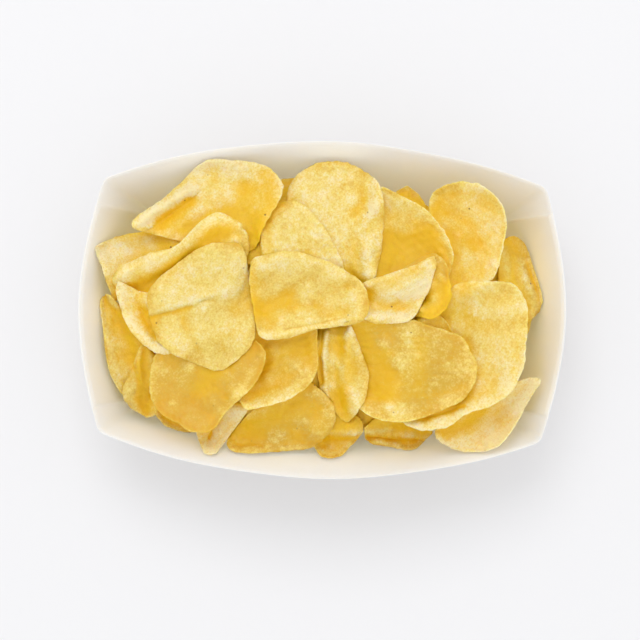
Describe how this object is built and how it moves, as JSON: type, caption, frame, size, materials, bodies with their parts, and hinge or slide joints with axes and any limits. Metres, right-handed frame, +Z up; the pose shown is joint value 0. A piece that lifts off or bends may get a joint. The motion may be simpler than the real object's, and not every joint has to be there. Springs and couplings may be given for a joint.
{
  "type": "tray of potato crisps",
  "caption": "Open white paperboard food tray with leaning walls and an arched rim, heaped with thin curled potato crisps.",
  "frame": {"origin": "middle of the tray's underside, on the surface it stands on", "axes": "+X along the tray, +Y across it towards the back, +Z up"},
  "size_m": [0.204, 0.14, 0.0632],
  "materials": {
    "tray": "uncoated white paperboard, matt",
    "crisp_heap": "dry fried potato, pale gold, lightly oiled"
  },
  "bodies": {
    "root": {"tray": "tray", "crisp_heap": "crisp_heap"}
  },
  "joints": []
}
